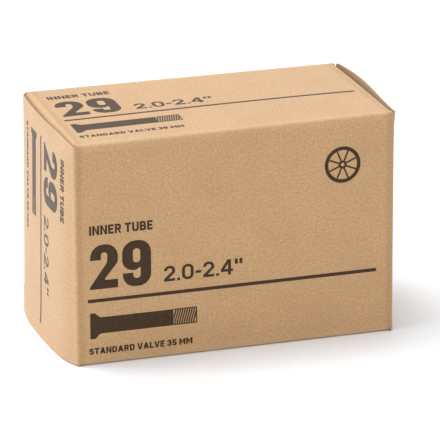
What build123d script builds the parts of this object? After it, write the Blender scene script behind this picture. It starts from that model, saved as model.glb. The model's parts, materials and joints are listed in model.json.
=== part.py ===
from build123d import *

import os
from math import cos, radians, sin, tan

# A boxed bicycle inner tube: a tuck-end carton of kraft board with a rolled butyl tube and its car-type
# valve inside. Units are millimetres. The origin is under the middle of the carton, +Z is up, +X runs along
# the long side and +Y from the front panel to the back panel. The carton is one creased sheet, so each panel
# that swings on a crease is a piece of its own, and each crease is a full-round edge that the next panel
# turns about.

os.makedirs("parts", exist_ok=True)

# ---- the carton's sleeve
WIDTH = 127.0  # over the creases of the two end closures
DEPTH = 70.0
HEIGHT = 88.0
BOARD = 0.6  # thickness of the board
FOLD_RADIUS = 1.2  # outer radius of the long folds
CREASE_GAP = 0.5  # from a crease's axis to the edge of the panel that turns about it
HALF_BOARD = BOARD / 2
MITRE = 10.0  # how far the mitre planes of the long folds reach inwards

# ---- the end closures, hinged on the front panel and tucked in behind the back panel
HINGE_X = WIDTH / 2 - HALF_BOARD
HINGE_Y = -DEPTH / 2 + HALF_BOARD
CLOSURE_EDGE = 0.5  # the closure's cut edges stop short of the top and bottom faces
TUCK_FOLD_OUT = 2.0  # a packed closure stands this far off the sleeve at its tuck fold
TUCK_FOLD_REACH = 68.35  # from the closure's crease to its tuck fold, along Y
CLOSURE_BOW = 0.8  # outward bow of the closure between its two folds
CLOSURE_CORNER = 3.5

# ---- the tuck flaps
TUCK_DEPTH = 14.0
TUCK_LEAN = 8.0  # degrees that the tuck flap leans in from the back panel
TUCK_EDGE = 1.6  # the flap's cut ends stop short of the top and bottom faces
TUCK_CORNER = 9.0
SLIT_LENGTH = 10.0  # the slit lock cuts this much off each end of the tuck fold
SLIT_GAP = 1.4

# ---- the dust flaps, under the closures
DUST_X = HINGE_X - 0.9  # their creases lie inside those of the closures
DUST_LENGTH = 34.0
DUST_FRONT = -HINGE_Y - 2.5  # root of the edge beside the closure's crease
DUST_BACK = 31.6  # root of the edge beside the tuck flap
DUST_FRONT_TAPER = 30.0  # degrees
DUST_BACK_TAPER = 15.0
DUST_CORNER = 4.0

# ---- the glued seam, inside the bottom panel
GLUE_WIDTH = 12.0
GLUE_HALF_LENGTH = 60.0
GLUE_SLANT = 3.0
GLUE_BACK = DEPTH / 2 - FOLD_RADIUS

# ---- the rolled tube: a racetrack roll of the flattened tube, with the tube's end folded back on top of it
TUBE_BOTTOM = 1.9
ROLL_RADIUS = 33.25
ROLL_HALF_LENGTH = 58.0
TUBE_HALF_WIDTH = 30.5  # half the flat width of the tube
NOSE_X = 5.0  # where the tube's folded end stops
NOSE_RADIUS = 6.5
TURN_RADIUS = 40.0  # of the tube's outer lap where it comes up over the roll
ROLL_TOP = TUBE_BOTTOM + 2 * ROLL_RADIUS
ROLL_MIDDLE = TUBE_BOTTOM + ROLL_RADIUS

# ---- the rubber band round the roll
BAND_X = -16.0
BAND_WIDTH = 3.0
BAND_THICKNESS = 0.6

# ---- the valve, lying along -X on top of the roll. Stations are distances from the tube's folded end.
VALVE_Z = ROLL_TOP + NOSE_RADIUS
PATCH_THICKNESS = 1.2
PATCH_HALF_WIDTH = 12.0
PATCH_REACH = 1.9  # how far the patch wraps back round the folded end
STEM_LENGTH = 36.0  # the valve's tip
RUBBER_END = 28.0  # the rubber cover stops and the bare thread begins
RUBBER_RADIUS = 4.1
FLANGE_RADIUS = 6.3
FLANGE_TOP = 2.6
FLARE_TOP = 6.0
INSERT_RADIUS = 2.8  # the brass stem inside its rubber cover
THREAD_RADIUS = 3.85
THREAD_CHAMFER = 0.5
AIR_HOLE_RADIUS = 1.5
CORE_BORE_RADIUS = 2.65
CORE_BORE_START = 17.0

# ---- the valve core
BARREL_START = 22.0
BARREL_END = 34.5
BARREL_RADIUS = 2.5
BARREL_NECK_RADIUS = 2.1
SEAL_START = 31.6
SEAL_END = 33.0
PIN_GUIDE_RADIUS = 1.0
SPRING_CHAMBER_RADIUS = 1.9
SPRING_START = 24.0
SPRING_END = 30.4
SPRING_WIRE = 0.36
SPRING_RADIUS = 1.35
SPRING_TURNS = 6
COIL_START = SPRING_START + SPRING_WIRE / 2 + 0.05  # the coil's centre line, clear of both seats
COIL_LENGTH = SPRING_END - SPRING_START - SPRING_WIRE - 0.1
PIN_RADIUS = 0.6
PIN_END = 35.2
PIN_START = 18.4
COLLAR_RADIUS = 1.7
COLLAR_LENGTH = 0.5
CUP_RADIUS = 1.8
CUP_END = BARREL_START - 0.8  # the gasket fills the rest
CUP_START = CUP_END - 0.9

# ---- the dust cap
CAP_START = 28.3
CAP_END = 40.0
CAP_RADIUS = 4.8
CAP_SKIRT_RADIUS = 4.1  # plain bore over the last turns
CAP_THREAD_RADIUS = 3.95
CAP_THREAD_START = 32.4
CAP_RIBS = 24
CAP_RIB_RADIUS = 0.35
CAP_RIBS_END = 37.5
CAP_EDGE = 0.8
WASHER_START = STEM_LENGTH  # the washer seals on the stem's tip
WASHER_END = 37.0
WASHER_HOLE_RADIUS = 1.6


def save(builder, name):
    """Labels a finished piece and writes it as its own node."""
    builder.part.label = name
    export_step(builder.part, f"parts/{name}.step")


# ---------------------------------------------------------------- sleeve panels

MIDDLE_PLANE = Plane.YZ.shift_origin((0, 0, HEIGHT / 2))
CORNER_Y = DEPTH / 2 + 1
CORNER_Z = HEIGHT / 2 + 1
INNER_Y = CORNER_Y - MITRE
INNER_Z = CORNER_Z - MITRE
FRONT_MITRES = ((-CORNER_Y, -CORNER_Z), (-CORNER_Y, CORNER_Z), (-INNER_Y, INNER_Z), (-INNER_Y, -INNER_Z))
BACK_MITRES = ((CORNER_Y, -CORNER_Z), (CORNER_Y, CORNER_Z), (INNER_Y, INNER_Z), (INNER_Y, -INNER_Z))
TOP_MITRES = ((-CORNER_Y, CORNER_Z), (CORNER_Y, CORNER_Z), (INNER_Y, INNER_Z), (-INNER_Y, INNER_Z))
BOTTOM_MITRES = ((-CORNER_Y, -CORNER_Z), (CORNER_Y, -CORNER_Z), (INNER_Y, -INNER_Z), (-INNER_Y, -INNER_Z))


def sleeve_section(mitres):
    """One panel's share of the sleeve's section, cut from the ring at the mitre lines of its folds."""
    with BuildSketch(MIDDLE_PLANE) as section:
        RectangleRounded(DEPTH, HEIGHT, FOLD_RADIUS)
        RectangleRounded(DEPTH - 2 * BOARD, HEIGHT - 2 * BOARD, FOLD_RADIUS - BOARD, mode=Mode.SUBTRACT)
        with BuildLine():
            Polyline(*mitres, close=True)
        make_face(mode=Mode.INTERSECT)
    return section.sketch


with BuildPart() as front_panel:
    extrude(sleeve_section(FRONT_MITRES), amount=HINGE_X, both=True)
    with Locations((-HINGE_X, HINGE_Y, HEIGHT / 2), (HINGE_X, HINGE_Y, HEIGHT / 2)):
        Cylinder(HALF_BOARD, HEIGHT - 2 * FOLD_RADIUS)
save(front_panel, "front_panel")

with BuildPart() as back_panel:
    extrude(sleeve_section(BACK_MITRES), amount=HINGE_X - BOARD, both=True)
save(back_panel, "back_panel")

with BuildPart() as top_panel:
    extrude(sleeve_section(TOP_MITRES), amount=DUST_X, both=True)
    with Locations((-DUST_X, 0, HEIGHT - HALF_BOARD), (DUST_X, 0, HEIGHT - HALF_BOARD)):
        Cylinder(HALF_BOARD, DEPTH - 2 * FOLD_RADIUS, rotation=(90, 0, 0))
save(top_panel, "top_panel")

with BuildPart() as bottom_panel:
    extrude(sleeve_section(BOTTOM_MITRES), amount=DUST_X, both=True)
    with Locations((-DUST_X, 0, HALF_BOARD), (DUST_X, 0, HALF_BOARD)):
        Cylinder(HALF_BOARD, DEPTH - 2 * FOLD_RADIUS, rotation=(90, 0, 0))
save(bottom_panel, "bottom_panel")

with BuildPart() as glue_flap:
    with BuildSketch(Plane.XY.offset(BOARD)):
        with BuildLine():
            Polyline(
                (-GLUE_HALF_LENGTH, GLUE_BACK),
                (GLUE_HALF_LENGTH, GLUE_BACK),
                (GLUE_HALF_LENGTH - GLUE_SLANT, GLUE_BACK - GLUE_WIDTH),
                (GLUE_SLANT - GLUE_HALF_LENGTH, GLUE_BACK - GLUE_WIDTH),
                close=True,
            )
        make_face()
    extrude(amount=BOARD)
save(glue_flap, "glue_flap")

# ---------------------------------------------------------------- end closures

TUCK_FOLD = (-HINGE_X - TUCK_FOLD_OUT, HINGE_Y + TUCK_FOLD_REACH)
CLOSURE_START = (-HINGE_X, HINGE_Y + CREASE_GAP)
CLOSURE_MIDDLE = (-HINGE_X - TUCK_FOLD_OUT / 2 - CLOSURE_BOW, HINGE_Y + TUCK_FOLD_REACH / 2)
LEAN = radians(TUCK_LEAN)


def along_tuck(distance, aside):
    """A point on the left tuck flap's plan, from its fold inwards and aside towards the back panel."""
    x = TUCK_FOLD[0] + distance * cos(LEAN) + aside * sin(LEAN)
    y = TUCK_FOLD[1] - distance * sin(LEAN) + aside * cos(LEAN)
    return (x, y)


def end_pieces(side):
    """The closure, tuck flap and two dust flaps of one end. side is "left" for -X or "right" for +X."""
    with BuildPart() as closure:
        with BuildSketch(Plane.XY.offset(CLOSURE_EDGE)):
            with BuildLine():
                ThreePointArc(
                    (CLOSURE_START[0] - HALF_BOARD, CLOSURE_START[1]),
                    (CLOSURE_MIDDLE[0] - HALF_BOARD, CLOSURE_MIDDLE[1]),
                    (TUCK_FOLD[0] - HALF_BOARD, TUCK_FOLD[1]),
                )
                Line((TUCK_FOLD[0] - HALF_BOARD, TUCK_FOLD[1]), (TUCK_FOLD[0] + HALF_BOARD, TUCK_FOLD[1]))
                ThreePointArc(
                    (TUCK_FOLD[0] + HALF_BOARD, TUCK_FOLD[1]),
                    (CLOSURE_MIDDLE[0] + HALF_BOARD, CLOSURE_MIDDLE[1]),
                    (CLOSURE_START[0] + HALF_BOARD, CLOSURE_START[1]),
                )
                Line(
                    (CLOSURE_START[0] + HALF_BOARD, CLOSURE_START[1]),
                    (CLOSURE_START[0] - HALF_BOARD, CLOSURE_START[1]),
                )
            make_face()
            with Locations(TUCK_FOLD):
                Circle(HALF_BOARD)
        extrude(amount=HEIGHT - 2 * CLOSURE_EDGE)
        with BuildSketch(Plane.YZ.offset(-HINGE_X - TUCK_FOLD_OUT)):
            with BuildLine():
                FilletPolyline(
                    (-DEPTH / 2, CLOSURE_EDGE),
                    (TUCK_FOLD[1] + HALF_BOARD, CLOSURE_EDGE),
                    (TUCK_FOLD[1] + HALF_BOARD, HEIGHT - CLOSURE_EDGE),
                    (-DEPTH / 2, HEIGHT - CLOSURE_EDGE),
                    radius=CLOSURE_CORNER,
                )
                Line((-DEPTH / 2, HEIGHT - CLOSURE_EDGE), (-DEPTH / 2, CLOSURE_EDGE))
            make_face()
        extrude(amount=DEPTH, both=True, mode=Mode.INTERSECT)
        if side == "right":
            mirror(about=Plane.YZ, mode=Mode.REPLACE)
    save(closure, f"{side}_closure_panel")

    with BuildPart() as tuck:
        with BuildSketch(Plane.XY.offset(TUCK_EDGE)):
            with BuildLine():
                Polyline(
                    along_tuck(CREASE_GAP, -HALF_BOARD),
                    along_tuck(TUCK_DEPTH, -HALF_BOARD),
                    along_tuck(TUCK_DEPTH, HALF_BOARD),
                    along_tuck(CREASE_GAP, HALF_BOARD),
                    close=True,
                )
            make_face()
        extrude(amount=HEIGHT - 2 * TUCK_EDGE)
        with BuildSketch(Plane.XZ.offset(-HINGE_Y)):
            with Locations((TUCK_FOLD[0], HEIGHT / 2)):
                Rectangle(TUCK_DEPTH * cos(LEAN), HEIGHT - 2 * TUCK_EDGE, align=(Align.MIN, Align.CENTER))
            fillet(vertices().group_by(Axis.X)[-1], TUCK_CORNER)
            slits = [(TUCK_FOLD[0], z) for z in (0, HEIGHT - SLIT_LENGTH)]
            with Locations(slits):
                Rectangle(SLIT_GAP, SLIT_LENGTH, align=(Align.MIN, Align.MIN), mode=Mode.SUBTRACT)
        extrude(amount=-2 * DEPTH, mode=Mode.INTERSECT)
        if side == "right":
            mirror(about=Plane.YZ, mode=Mode.REPLACE)
    save(tuck, f"{side}_tuck_flap")

    for place, crease_z, way in (("top", HEIGHT - HALF_BOARD, -1), ("bottom", HALF_BOARD, 1)):
        root = crease_z + way * CREASE_GAP
        tip = crease_z + way * DUST_LENGTH
        run = DUST_LENGTH - CREASE_GAP
        front_shift = run * tan(radians(DUST_FRONT_TAPER))
        back_shift = run * tan(radians(DUST_BACK_TAPER))
        with BuildPart() as dust:
            with BuildSketch(Plane.YZ.offset(-DUST_X - HALF_BOARD)):
                with BuildLine():
                    FilletPolyline(
                        (-DUST_FRONT, root),
                        (-DUST_FRONT + front_shift, tip),
                        (DUST_BACK - back_shift, tip),
                        (DUST_BACK, root),
                        radius=DUST_CORNER,
                    )
                    Line((DUST_BACK, root), (-DUST_FRONT, root))
                make_face()
            extrude(amount=BOARD)
            if side == "right":
                mirror(about=Plane.YZ, mode=Mode.REPLACE)
        save(dust, f"{side}_dust_flap_{place}")


end_pieces("left")
end_pieces("right")

# ---------------------------------------------------------------- rolled tube and its band

NOSE_CENTRE_X = NOSE_X + NOSE_RADIUS
LAP_TOP = ROLL_TOP + 2 * NOSE_RADIUS
TURN_X = ROLL_HALF_LENGTH - TURN_RADIUS
TURN_Z = LAP_TOP - TURN_RADIUS
TURN_MIDDLE = TURN_RADIUS * cos(radians(45))
CREVICE = (NOSE_CENTRE_X - NOSE_RADIUS * cos(radians(45)), VALVE_Z - NOSE_RADIUS * sin(radians(45)))

with BuildPart() as tube:
    with BuildSketch(Plane.XZ.offset(-TUBE_HALF_WIDTH)):
        with Locations((0, ROLL_MIDDLE)):
            SlotOverall(2 * ROLL_HALF_LENGTH, 2 * ROLL_RADIUS)
        with BuildLine():
            Line((TURN_X, LAP_TOP), (NOSE_CENTRE_X, LAP_TOP))
            ThreePointArc((NOSE_CENTRE_X, LAP_TOP), (NOSE_X, VALVE_Z), CREVICE)
            Polyline(CREVICE, (CREVICE[0], ROLL_MIDDLE), (TURN_X, ROLL_MIDDLE), (ROLL_HALF_LENGTH, TURN_Z))
            ThreePointArc(
                (ROLL_HALF_LENGTH, TURN_Z), (TURN_X + TURN_MIDDLE, TURN_Z + TURN_MIDDLE), (TURN_X, LAP_TOP)
            )
        make_face()
    extrude(amount=2 * TUBE_HALF_WIDTH)
save(tube, "butyl_tube")

with BuildPart() as band:
    with BuildSketch(Plane.YZ.offset(BAND_X - BAND_WIDTH / 2)):
        with Locations((0, ROLL_MIDDLE)):
            RectangleRounded(
                2 * (TUBE_HALF_WIDTH + BAND_THICKNESS),
                2 * (ROLL_RADIUS + BAND_THICKNESS),
                BAND_THICKNESS,
            )
            Rectangle(2 * TUBE_HALF_WIDTH, 2 * ROLL_RADIUS, mode=Mode.SUBTRACT)
    extrude(amount=BAND_WIDTH)
save(band, "rubber_band")

# ---------------------------------------------------------------- valve

NOSE_AXIS = (NOSE_CENTRE_X, 0, VALVE_Z)
HALF_SECTION = Plane(origin=(NOSE_X, 0, VALVE_Z), x_dir=(-1, 0, 0), z_dir=(0, 1, 0))
VALVE_AXIS = Axis((NOSE_X, 0, VALVE_Z), (-1, 0, 0))


def half_section(*corners):
    """A closed outline of (station, radius) corners, to be revolved about the valve's axis."""
    with BuildSketch(HALF_SECTION) as section:
        with BuildLine():
            Polyline(*corners, close=True)
        make_face()
    return section.sketch


with BuildPart() as patch:
    with Locations(NOSE_AXIS):
        Cylinder(NOSE_RADIUS + PATCH_THICKNESS, 2 * PATCH_HALF_WIDTH, rotation=(90, 0, 0))
        Cylinder(NOSE_RADIUS, 2 * PATCH_HALF_WIDTH, rotation=(90, 0, 0), mode=Mode.SUBTRACT)
    with Locations((NOSE_X + PATCH_REACH, 0, VALVE_Z)):
        Box(
            2 * NOSE_RADIUS,
            DEPTH,
            DEPTH,
            align=(Align.MAX, Align.CENTER, Align.CENTER),
            mode=Mode.INTERSECT,
        )
    with Locations((NOSE_X, 0, VALVE_Z)):
        Cylinder(AIR_HOLE_RADIUS, 4 * NOSE_RADIUS, rotation=(0, 90, 0), mode=Mode.SUBTRACT)
save(patch, "valve_patch")

with BuildPart() as rubber:
    flared_cover = half_section(
        (-PATCH_REACH, INSERT_RADIUS),
        (-PATCH_REACH, FLANGE_RADIUS),
        (FLANGE_TOP, FLANGE_RADIUS),
        (FLARE_TOP, RUBBER_RADIUS),
        (RUBBER_END, RUBBER_RADIUS),
        (RUBBER_END, INSERT_RADIUS),
    )
    revolve(flared_cover, axis=VALVE_AXIS)
    with Locations(NOSE_AXIS):
        Cylinder(NOSE_RADIUS + PATCH_THICKNESS, DEPTH, rotation=(90, 0, 0), mode=Mode.SUBTRACT)
save(rubber, "valve_stem_rubber")

with BuildPart() as brass:
    threaded_stem = half_section(
        (PATCH_THICKNESS, AIR_HOLE_RADIUS),
        (PATCH_THICKNESS, INSERT_RADIUS),
        (RUBBER_END, INSERT_RADIUS),
        (RUBBER_END, THREAD_RADIUS - THREAD_CHAMFER),
        (RUBBER_END + THREAD_CHAMFER, THREAD_RADIUS),
        (STEM_LENGTH - THREAD_CHAMFER, THREAD_RADIUS),
        (STEM_LENGTH, THREAD_RADIUS - THREAD_CHAMFER),
        (STEM_LENGTH, CORE_BORE_RADIUS),
        (CORE_BORE_START, CORE_BORE_RADIUS),
        (CORE_BORE_START, AIR_HOLE_RADIUS),
    )
    revolve(threaded_stem, axis=VALVE_AXIS)
save(brass, "valve_stem_brass")

with BuildPart() as barrel:
    grooved_barrel = half_section(
        (BARREL_START, PIN_GUIDE_RADIUS),
        (BARREL_START, BARREL_NECK_RADIUS),
        (BARREL_START + 1, BARREL_RADIUS),
        (SEAL_START, BARREL_RADIUS),
        (SEAL_START, BARREL_NECK_RADIUS),
        (SEAL_END, BARREL_NECK_RADIUS),
        (SEAL_END, BARREL_RADIUS),
        (BARREL_END, BARREL_RADIUS),
        (BARREL_END, SPRING_CHAMBER_RADIUS),
        (SPRING_START, SPRING_CHAMBER_RADIUS),
        (SPRING_START, PIN_GUIDE_RADIUS),
    )
    revolve(grooved_barrel, axis=VALVE_AXIS)
save(barrel, "core_barrel")


def turned_ring(start, end, inner_radius, outer_radius):
    """A plain ring round the valve's axis, as a half-section to revolve."""
    near = (start, inner_radius), (start, outer_radius)
    far = (end, outer_radius), (end, inner_radius)
    return half_section(*near, *far)


with BuildPart() as seal:
    revolve(turned_ring(SEAL_START, SEAL_END, BARREL_NECK_RADIUS, CORE_BORE_RADIUS), axis=VALVE_AXIS)
save(seal, "core_seal")

with BuildPart() as pin:
    collared_pin = half_section(
        (PIN_START, 0),
        (PIN_START, PIN_RADIUS),
        (CUP_START, PIN_RADIUS),
        (CUP_START, CUP_RADIUS),
        (CUP_END, CUP_RADIUS),
        (CUP_END, PIN_RADIUS),
        (SPRING_END, PIN_RADIUS),
        (SPRING_END, COLLAR_RADIUS),
        (SPRING_END + COLLAR_LENGTH, COLLAR_RADIUS),
        (SPRING_END + COLLAR_LENGTH, PIN_RADIUS),
        (PIN_END, PIN_RADIUS),
        (PIN_END, 0),
    )
    revolve(collared_pin, axis=VALVE_AXIS)
save(pin, "core_pin")

with BuildPart() as gasket:
    revolve(turned_ring(CUP_END, BARREL_START, PIN_RADIUS, CUP_RADIUS), axis=VALVE_AXIS)
save(gasket, "core_gasket")

with BuildPart() as spring:
    with BuildLine():
        coil = Helix(
            pitch=COIL_LENGTH / SPRING_TURNS,
            height=COIL_LENGTH,
            radius=SPRING_RADIUS,
            center=(NOSE_X - COIL_START, 0, VALVE_Z),
            direction=(-1, 0, 0),
        )
    with BuildSketch(Plane(origin=coil @ 0, z_dir=coil % 0)):
        Circle(SPRING_WIRE / 2)
    sweep(is_frenet=True)
save(spring, "core_spring")

# ---------------------------------------------------------------- dust cap

with BuildPart() as cap:
    closed_cap = half_section(
        (CAP_START, CAP_SKIRT_RADIUS),
        (CAP_START, CAP_RADIUS - CAP_EDGE / 2),
        (CAP_START + CAP_EDGE, CAP_RADIUS),
        (CAP_END - CAP_EDGE, CAP_RADIUS),
        (CAP_END, CAP_RADIUS - CAP_EDGE),
        (CAP_END, 0),
        (WASHER_END, 0),
        (WASHER_END, CAP_THREAD_RADIUS),
        (CAP_THREAD_START, CAP_THREAD_RADIUS),
        (CAP_THREAD_START, CAP_SKIRT_RADIUS),
    )
    revolve(closed_cap, axis=VALVE_AXIS)
    with BuildSketch(Plane(origin=(NOSE_X - CAP_START, 0, VALVE_Z), z_dir=(-1, 0, 0))):
        with PolarLocations(CAP_RADIUS + CAP_RIB_RADIUS / 3, CAP_RIBS):
            Circle(CAP_RIB_RADIUS)
    extrude(amount=CAP_RIBS_END - CAP_START, mode=Mode.SUBTRACT)
save(cap, "valve_cap")

with BuildPart() as washer:
    revolve(turned_ring(WASHER_START, WASHER_END, WASHER_HOLE_RADIUS, CAP_THREAD_RADIUS), axis=VALVE_AXIS)
save(washer, "cap_washer")
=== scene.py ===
import json
from math import atan2, copysign, cos, exp, floor, hypot, pi, radians, sin, sqrt, tan

import bmesh
import bpy
import numpy as np
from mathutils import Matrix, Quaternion, Vector


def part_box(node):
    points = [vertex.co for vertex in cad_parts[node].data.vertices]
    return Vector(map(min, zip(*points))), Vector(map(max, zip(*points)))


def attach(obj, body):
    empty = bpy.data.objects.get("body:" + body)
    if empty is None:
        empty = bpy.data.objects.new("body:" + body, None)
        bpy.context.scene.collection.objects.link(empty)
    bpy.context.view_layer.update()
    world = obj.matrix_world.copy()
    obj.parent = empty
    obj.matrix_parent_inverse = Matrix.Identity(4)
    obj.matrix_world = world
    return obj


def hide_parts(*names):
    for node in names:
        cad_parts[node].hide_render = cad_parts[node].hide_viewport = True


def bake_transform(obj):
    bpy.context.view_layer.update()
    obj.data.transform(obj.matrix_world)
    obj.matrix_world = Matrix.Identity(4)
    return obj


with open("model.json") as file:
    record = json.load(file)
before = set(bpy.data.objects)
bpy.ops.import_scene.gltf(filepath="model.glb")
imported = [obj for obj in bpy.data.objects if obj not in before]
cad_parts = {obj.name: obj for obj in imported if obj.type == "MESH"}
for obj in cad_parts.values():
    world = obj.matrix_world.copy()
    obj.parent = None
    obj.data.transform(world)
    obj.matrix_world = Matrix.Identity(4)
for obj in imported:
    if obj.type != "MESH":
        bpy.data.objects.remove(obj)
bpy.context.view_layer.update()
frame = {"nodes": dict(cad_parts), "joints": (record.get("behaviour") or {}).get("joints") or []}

MM = 0.001
scene = bpy.context.scene

# ------------------------------------------------------------------ camera

CAMERA_PLACE = Vector((-0.4480, -1.4274, 0.5428))
CAMERA_AIM = Vector((0.28653, 0.90366, -0.31827))
CAMERA_ROLL = radians(-0.33)

camera_data = bpy.data.cameras.new("camera")
camera_data.lens = 333.4
camera_data.sensor_width = 36
camera_data.clip_start = 0.05
camera = bpy.data.objects.new("camera", camera_data)
camera.rotation_mode = "QUATERNION"
camera.location = CAMERA_PLACE
camera.rotation_quaternion = CAMERA_AIM.to_track_quat("-Z", "Y") @ Quaternion((0, 0, 1), CAMERA_ROLL)
scene.collection.objects.link(camera)
scene.camera = camera

# ------------------------------------------------------------------ sizes, in millimetres

joints = {j["name"]: j for j in frame["joints"]}
BOARD = 0.6
LOW_Y, HIGH_Y = (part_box("front_panel")[0][1] / MM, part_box("back_panel")[1][1] / MM)
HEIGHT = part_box("top_panel")[1][2] / MM
HINGE_X = -joints["left_closure_hinge"]["pos_m"][0] / MM
SIDE_X = HINGE_X + BOARD / 2
DEPTH = HIGH_Y - LOW_Y
SLEEVE_FOLD = 1.2
END_FOLD = 1.3
TUCK_FOLD = 1.0


# ------------------------------------------------------------------ materials

class Graph:
    """A material's nodes, with short ways to add and join them."""

    def __init__(self, name):
        self.material = bpy.data.materials.new(name)
        self.material.use_nodes = True
        self.tree = self.material.node_tree
        self.surface = self.tree.nodes["Principled BSDF"]

    def node(self, kind, inputs=(), **settings):
        made = self.tree.nodes.new("ShaderNode" + kind)
        for key, value in settings.items():
            setattr(made, key, value)
        for key, value in dict(inputs).items():
            self.put(made, key, value)
        return made

    def put(self, node, key, value):
        if isinstance(value, bpy.types.NodeSocket):
            self.tree.links.new(value, node.inputs[key])
        else:
            node.inputs[key].default_value = value

    def shader(self, **inputs):
        for key, value in inputs.items():
            self.put(self.surface, key.replace("_", " "), value)

    def noise(self, vector, scale, detail=3.0, roughness=0.55, distortion=0.0):
        made = self.node("TexNoise", {"Vector": vector, "Scale": scale, "Detail": detail,
                                      "Roughness": roughness, "Distortion": distortion})
        return made.outputs["Fac"]

    def ramp(self, value, low, high, to_low=0.0, to_high=1.0):
        made = self.node("MapRange", {"Value": value, "From Min": low, "From Max": high,
                                      "To Min": to_low, "To Max": to_high})
        return made.outputs["Result"]

    def math(self, operation, a, b):
        return self.node("Math", {0: a, 1: b}, operation=operation).outputs[0]

    def mix(self, factor, a, b, blend="MIX"):
        made = self.node("Mix", data_type="RGBA", blend_type=blend)
        self.put(made, 0, factor)
        self.put(made, 6, a)
        self.put(made, 7, b)
        return made.outputs[2]

    def scaled(self, vector, x, y, z):
        return self.node("Mapping", {"Vector": vector, "Scale": (x, y, z)}).outputs["Vector"]

    def bump(self, height, distance, strength=1.0, normal=None):
        inputs = {"Height": height, "Distance": distance, "Strength": strength}
        if normal is not None:
            inputs["Normal"] = normal
        return self.node("Bump", inputs).outputs["Normal"]

    def blank(self):
        """The board's own flat coordinates, in millimetres."""
        found = self.node("UVMap", uv_map="blank").outputs["UV"]
        return self.scaled(found, 100, 100, 100)

    def place(self):
        """Where a point lies on its own piece at rest, in millimetres."""
        return self.scaled(self.node("TexCoord").outputs["Object"], 1000, 1000, 1000)


def kraft_colour(graph, flat, light, dark, fibre):
    """Mottled board with short fibres lying in two directions."""
    cloud = graph.noise(flat, 0.05, 3.0)
    mottle = graph.noise(flat, 1.15, 4.0, 0.7)
    along = graph.noise(graph.scaled(flat, 0.6, 4.2, 1), 1.0, 3.0, 0.6, 0.6)
    across = graph.noise(graph.scaled(flat, 4.0, 0.7, 1), 1.0, 3.0, 0.6, 0.6)
    speck = graph.noise(graph.scaled(flat, 1.0, 1.6, 1), 2.6, 2.0, 0.5)
    base = graph.mix(graph.ramp(mottle, 0.32, 0.68), light, dark)
    base = graph.mix(graph.ramp(cloud, 0.4, 0.7, 0.0, 0.3), base, dark)
    base = graph.mix(graph.ramp(along, 0.55, 0.75, 0.0, 0.5), base, fibre)
    base = graph.mix(graph.ramp(across, 0.57, 0.77, 0.0, 0.4), base, fibre)
    base = graph.mix(graph.ramp(speck, 0.66, 0.78, 0.0, 0.4), base, (0.2, 0.105, 0.045, 1))
    relief = graph.math("ADD", graph.math("MULTIPLY", mottle, 0.6), graph.math("MULTIPLY", along, 0.5))
    relief = graph.math("ADD", relief, graph.math("MULTIPLY", across, 0.4))
    return base, relief


def make_kraft(name, light, dark, fibre, scuff):
    graph = Graph(name)
    flat = graph.blank()
    base, relief = kraft_colour(graph, flat, light, dark, fibre)
    # The board's attribute holds scuffs where it is above zero and painted shade where it is below zero.
    wear_and_shade = graph.node("Attribute", attribute_name="wear_and_shade").outputs["Fac"]
    patchy = graph.ramp(graph.noise(flat, 1.3, 3.0), 0.3, 0.6, 0.35, 1.0)
    fold_marks = graph.math("MULTIPLY", graph.ramp(wear_and_shade, 0.0, 1.0, 0.0, scuff), patchy)
    base = graph.mix(fold_marks, base, (0.68, 0.46, 0.27, 1))
    # Painted shade: below zero the board darkens towards dark brown, standing in for the shade along the folds by
    # the carton's ends.
    base = graph.mix(graph.ramp(wear_and_shade, -1.0, 0.0, 0.3, 0.0), base, (0.25, 0.14, 0.065, 1))
    graph.shader(Base_Color=base, Roughness=graph.ramp(relief, 0.4, 1.1, 0.7, 0.9), Specular_IOR_Level=0.4,
                 Normal=graph.bump(relief, 0.00010, 0.5), Sheen_Weight=0.22, Sheen_Roughness=0.5)
    return graph.material


def make_raw_edge():
    """The board's cut edge: pressed layers, paler where fibres stand out."""
    graph = Graph("board_cut_edge")
    place = graph.place()
    layers = graph.noise(graph.scaled(place, 1.2, 1.2, 1.2), 3.0, 4.0, 0.7)
    base = graph.mix(graph.ramp(layers, 0.3, 0.7), (0.43, 0.295, 0.18, 1), (0.28, 0.182, 0.105, 1))
    graph.shader(Base_Color=base, Roughness=0.95, Specular_IOR_Level=0.2,
                 Normal=graph.bump(layers, 0.0002, 0.8))
    return graph.material


def make_ink():
    """Flexo print: dark brown, a little thin where the board's fibres stand up."""
    graph = Graph("print_ink")
    flat = graph.blank()
    pinholes = graph.noise(flat, 3.2, 3.0, 0.6)
    cover = graph.noise(flat, 0.35, 2.0)
    base = graph.mix(graph.ramp(cover, 0.3, 0.7), (0.034, 0.016, 0.005, 1), (0.047, 0.023, 0.008, 1))
    base = graph.mix(graph.ramp(pinholes, 0.56, 0.74, 0.0, 0.5), base, (0.24, 0.135, 0.06, 1))
    graph.shader(Base_Color=base, Roughness=graph.ramp(pinholes, 0.3, 0.8, 0.6, 0.85),
                 Specular_IOR_Level=0.28, Normal=graph.bump(pinholes, 0.00006, 0.5), Sheen_Weight=0.26,
                 Sheen_Roughness=0.35)
    return graph.material


def make_butyl(name, talc):
    """Black butyl with a thin film of talc that stays in the hollows."""
    graph = Graph(name)
    place = graph.place()
    film = graph.noise(place, 0.4, 4.0, 0.65, 0.3)
    grain = graph.noise(place, 2.2, 4.0, 0.65)
    wipe = graph.noise(graph.scaled(place, 0.12, 1.6, 0.12), 1.0, 4.0, 0.6, 0.3)
    dust = graph.math("MULTIPLY", graph.ramp(film, 0.25, 0.85), graph.ramp(wipe, 0.3, 0.7, 0.5, 1.0))
    dust = graph.math("MULTIPLY", dust, graph.ramp(grain, 0.25, 0.7, 0.3, 1.0))
    base = graph.mix(graph.math("MULTIPLY", dust, talc), (0.016, 0.016, 0.018, 1), (0.34, 0.34, 0.35, 1))
    graph.shader(Base_Color=base, Roughness=graph.ramp(dust, 0.0, 0.6, 0.46, 0.85), Specular_IOR_Level=0.4,
                 Normal=graph.bump(grain, 0.00008, 0.5))
    return graph.material


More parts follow.
